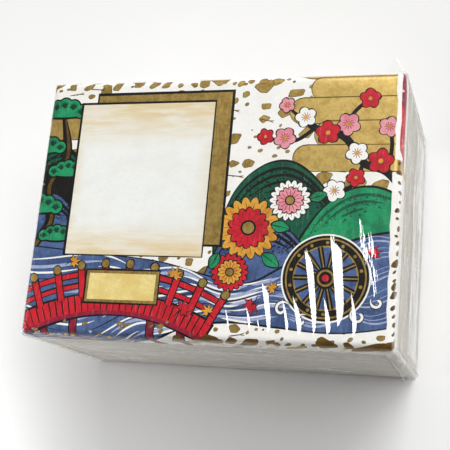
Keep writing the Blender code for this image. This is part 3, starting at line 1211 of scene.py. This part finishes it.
def make_film_sleeve():
    """The film from a fine grid, carried down over the edges ring by ring, then slightly uneven on top."""
    half_x = FILM_HIGH.x - FILM_RADIUS * MM
    half_y = FILM_HIGH.y - FILM_RADIUS * MM
    film = add_grid(80, 56, clear_film)
    rename(film, "clear_film_sleeve")
    bpy.ops.object.mode_set(mode="EDIT")
    bpy.ops.mesh.select_all(action="SELECT")
    bpy.ops.transform.resize(value=(half_x, half_y, 1), center_override=(0, 0, 0))
    bpy.ops.transform.translate(value=(0, 0, FILM_HIGH.z))
    bpy.ops.mesh.region_to_loop()
    rings = []
    for k in range(1, FOLD_STEPS + 1):
        angle = pi / 2 * k / FOLD_STEPS
        rings.append((FILM_RADIUS * MM * sin(angle), FILM_RADIUS * MM * (1 - cos(angle))))
    depth = FILM_HIGH.z - FILM_LOW.z
    for k in range(1, WALL_STEPS + 1):
        rings.append((FILM_RADIUS * MM, FILM_RADIUS * MM + (depth - FILM_RADIUS * MM) * k / WALL_STEPS))
    out, down = 0.0, 0.0
    for next_out, next_down in rings:
        bpy.ops.mesh.extrude_edges_move(TRANSFORM_OT_translate={"value": (0, 0, down - next_down)})
        size = ((half_x + next_out) / (half_x + out), (half_y + next_out) / (half_y + out), 1)
        bpy.ops.transform.resize(value=size, center_override=(0, 0, 0))
        out, down = next_out, next_down
    bpy.ops.object.mode_set(mode="OBJECT")
    face_outwards()
    for vertex in film.data.vertices:
        x, y, z = vertex.co / MM
        if z > FILM_HIGH.z / MM - 0.3:
            vertex.co.z += film_lift(x, y) * MM
    return film


film_sleeve = make_film_sleeve()
thicken(film_sleeve, FILM_THICK * MM)
bpy.ops.object.shade_smooth_by_angle(angle=radians(60))
film_sleeve.visible_shadow = False
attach(film_sleeve, "film")
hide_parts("film_sleeve")

film_folds = make_film_folds()
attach(film_folds, "film")


# Gathered film at the corners

PLEAT_TOP = FILM_HIGH.z / MM - FILM_RADIUS - 0.4
PLEAT_FOOT = FILM_LOW.z / MM


def pleat_point(across, up, width_top, width_foot, loose, seed):
    """How far a point of a pleat lies from the corner along the wall, how high, and how far off it."""
    width = width_foot + (width_top - width_foot) * up
    width += 0.3 * noise.noise(Vector((up * 9, seed, 0.5)))
    # The last column, this wide, holds the painted shadow line at the free edge
    line = 0.15 + 0.2 * loose
    steps = (0.0, width * 0.3, width * 0.65, width - line, width)
    away = steps[round(across * 4)]
    crumple = noise.noise(Vector((away * 0.9, up * 26, seed)))
    off = 0.08 + loose * (0.25 + 0.1 * width) * away / width + 0.06 * crumple
    if up < 0.12:
        off += loose * (1 - up / 0.12) * (0.25 + 0.4 * crumple)
    return away, PLEAT_FOOT + (PLEAT_TOP - PLEAT_FOOT) * up, max(off, 0.05)


def make_pleat(corner_x, corner_y, on_front, width_top, width_foot, loose, seed):
    """One strip of doubled film down a corner, on the front or back wall or on a side wall, with a dark line
    of painted shadow along its raised free edge.
    """
    columns = 4
    strip = add_grid(columns, 36, milky_film, film_edge_painted_shadow_line)
    mark_last_column(strip, columns)
    for vertex in strip.data.vertices:
        across = (vertex.co.x + 1) / 2
        up = (vertex.co.y + 1) / 2
        away, z, off = pleat_point(across, up, width_top, width_foot, loose, seed)
        if on_front:
            x = FILM_HIGH.x / MM - away
            y = FILM_HIGH.y / MM + off
        else:
            x = FILM_HIGH.x / MM + off
            y = FILM_HIGH.y / MM - away
        vertex.co = Vector((corner_x * x, corner_y * y, z)) * MM
    return strip


def make_film_ear():
    """The pointed end of film that stands out behind the back right corner."""
    columns = 6
    ear = add_grid(columns, 8, clear_film, milky_film)
    mark_last_column(ear, columns)
    left = Vector((51.2, 41.3, 62.4))
    right = Vector((56.9, 41.2, 62.0))
    tip = Vector((53.9, 46.0, 63.2))
    for vertex in ear.data.vertices:
        up = (vertex.co.y + 1) / 2
        base = left.lerp(right, (vertex.co.x + 1) / 2)
        place = base.lerp(tip, up * 0.97)
        place.z += 0.5 * sin(pi * up) * cos(vertex.co.x * 1.6)
        vertex.co = place * MM
    return ear


# Fine creases on the front and back walls, in near-opaque white as a painted highlight: place along the wall
# and height of both ends, in millimetres
WALL_CREASES = (
    (-19.5, 50.1, -11.9, 38.0),
    (-4.4, 48.9, 2.9, 40.9),
    (14.0, 55.0, 21.0, 47.5),
    (-44.0, 22.0, -33.0, 14.5),
    (27.0, 18.0, 42.0, 11.0),
)


def make_wall_crease(turn, start_u, start_z, end_u, end_z):
    """One fine crease: a low ridge on a wall, pointed at both ends, coloured white as a painted highlight.
    """
    start = Vector((start_u, start_z))
    end = Vector((end_u, end_z))
    side = Vector((start_z - end_z, end_u - start_u)).normalized()
    crease = add_grid(2, 12, film_crease_painted_highlight_line)
    for vertex in crease.data.vertices:
        t = (vertex.co.y + 1) / 2
        wide = 0.04 + 0.3 * sin(pi * t)
        place = start.lerp(end, t) + side * vertex.co.x * wide
        place += side * 0.5 * noise.noise(Vector((t * 3, start_u, 2.0)))
        off = 0.06 + (1 - abs(vertex.co.x)) * 0.6 * wide
        vertex.co = Vector((turn * place.x, -turn * (FILM_HIGH.y / MM + off), place.y)) * MM
    return crease


def make_end_flap(turn):
    """The strip along a side wall where the film's two ends overlap, with a ragged upper edge that carries a
    dark line of painted shadow.
    """
    columns = 60
    rows = 8
    flap = add_grid(columns, rows, overlap_film, film_edge_painted_shadow_line)
    for vertex in flap.data.vertices:
        along = -1.0 + 36.5 * vertex.co.x
        row = round((vertex.co.y + 1) * rows / 2)
        top = 32.0 + 3.0 * noise.noise(Vector((along * 0.05, turn, 4.0)))
        top += 0.8 * noise.noise(Vector((along * 0.35, turn, 9.0)))
        low = 9.0 + 4.0 * noise.noise(Vector((along * 0.11, turn, 14.0)))
        z = low + (top - low) * min(row, rows - 1) / (rows - 1)
        if row == rows:
            z += 0.35
        off = 0.08 + 0.12 * (1 + noise.noise(Vector((along * 0.2, z * 0.2, turn))))
        vertex.co = Vector((turn * (FILM_HIGH.x / MM + off), turn * along, z)) * MM
    # The top row gets the painted shadow line
    for number, face in enumerate(flap.data.polygons):
        face.material_index = 1 if number >= columns * (rows - 1) else 0
    return flap


def make_film_gathers():
    """All gathered film as one piece: pleats at the upright corners, end flaps, fine creases and the ear."""
    pieces = [make_film_ear(), make_end_flap(1), make_end_flap(-1)]
    corners = ((1, -1, 1), (1, 1, 0.3), (-1, -1, 0.3), (-1, 1, 0.3))
    for seed, (corner_x, corner_y, loose) in enumerate(corners):
        pieces.append(make_pleat(corner_x, corner_y, True, 2.9, 4.4, loose, seed + 1.3))
        pieces.append(make_pleat(corner_x, corner_y, False, 1.6, 1.2, loose, seed + 7.7))
    for turn in (1, -1):
        for ends in WALL_CREASES:
            pieces.append(make_wall_crease(turn, *ends))
    return join_film(pieces, "film_corner_pleats", 0.04, 50)


film_gathers = make_film_gathers()
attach(film_gathers, "film")


# Finishes of the CAD nodes

finishes = {
    "tray_board": greyboard,
    "lid_board": greyboard,
    "tray_wrap_paper": wrap_paper,
    "lid_side_paper": white_paper,
    "film_base_sheet": clear_film,
}
for name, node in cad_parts.items():
    if name in finishes or "card" in name:
        node.data.materials.clear()
        node.data.materials.append(finishes.get(name, card_stock))


# Floor, light and camera


def make_floor():
    """A plain pale floor."""
    bpy.ops.object.select_all(action="DESELECT")
    bpy.ops.mesh.primitive_grid_add(x_subdivisions=2, y_subdivisions=2, size=6, location=(0, 0, -0.0002))
    floor = bpy.context.object
    floor.name = "floor"
    material, tree, shader = new_material("pale_floor")
    tone = add_noise(tree, add_place(tree), 8, 2)
    colour = add_mix(tree, tone, srgb(234, 234, 234), srgb(237, 237, 236))
    feed_inputs(tree, shader, Base_Color=colour, Roughness=0.9, Specular_IOR_Level=0.1)
    floor.data.materials.append(material)


def add_lamp(name, place, aim, size_x, size_y, power):
    """An area lamp at a place, turned to its aim."""
    data = bpy.data.lights.new(name, "AREA")
    data.shape = "RECTANGLE"
    data.size = size_x
    data.size_y = size_y
    data.energy = power
    lamp = bpy.data.objects.new(name, data)
    lamp.location = place
    lamp.rotation_euler = (Vector(aim) - Vector(place)).to_track_quat("-Z", "Y").to_euler()
    lamp.visible_camera = False
    bpy.context.scene.collection.objects.link(lamp)
    return lamp


def make_light():
    """Four broad lamps from behind, the right and above, two small ones at the left, and the film's own."""
    for name, place, power, shines in (
        ("key_lamp", (1.2, 2.4, 2.55), 80, True),
        ("back_lamp", (0.2, 2.4, 2.6), 30, True),
        ("right_lamp", (2.0, 0.8, 2.6), 42, False),
        ("top_lamp", (0.1, -0.25, 2.6), 5, False),
    ):
        lamp = add_lamp(name, place, BROAD_LAMP_AIM, BROAD_LAMP_WIDTH, BROAD_LAMP_WIDTH, power)
        lamp.visible_glossy = shines
    add_lamp("front_left_lamp", (-0.16, -0.11, 0.06), (-0.05, -0.05, 0.02), 0.1, 0.1, 0.1)
    add_lamp("left_lamp", (-0.34, -0.05, 0.25), (-0.07, -0.09, 0), 0.2, 0.2, 0.23)
    shiny = bpy.data.collections.new("film_under_strip_lamp")
    shiny.objects.link(film_folds)
    strip = add_lamp("strip_lamp", STRIP_LAMP_PLACE, (0.035, -0.025, 0.06), 0.36, 0.26, 9.5)
    strip.light_linking.receiver_collection = shiny
    world = bpy.data.worlds.new("pale_room")
    world.use_nodes = True
    background = world.node_tree.nodes["Background"]
    feed_inputs(world.node_tree, background, Color=(1, 0.96, 0.92, 1), Strength=0.08)
    bpy.context.scene.world = world


def make_camera():
    """The camera at the photograph's place: above, in front and to the right, rolled."""
    data = bpy.data.cameras.new("camera")
    data.sensor_width = 36
    data.lens = CAMERA_LENS
    data.clip_start = 0.01
    data.clip_end = 20
    camera = bpy.data.objects.new("camera", data)
    forward = CAMERA_FORWARD.normalized()
    right = (CAMERA_RIGHT - forward * CAMERA_RIGHT.dot(forward)).normalized()
    up = right.cross(forward)
    turn = Matrix((right, up, -forward)).transposed().to_4x4()
    camera.matrix_world = Matrix.Translation(CAMERA_PLACE) @ turn
    bpy.context.scene.collection.objects.link(camera)
    bpy.context.scene.camera = camera


make_floor()
make_light()
make_camera()
bpy.context.scene.view_settings.view_transform = "Standard"
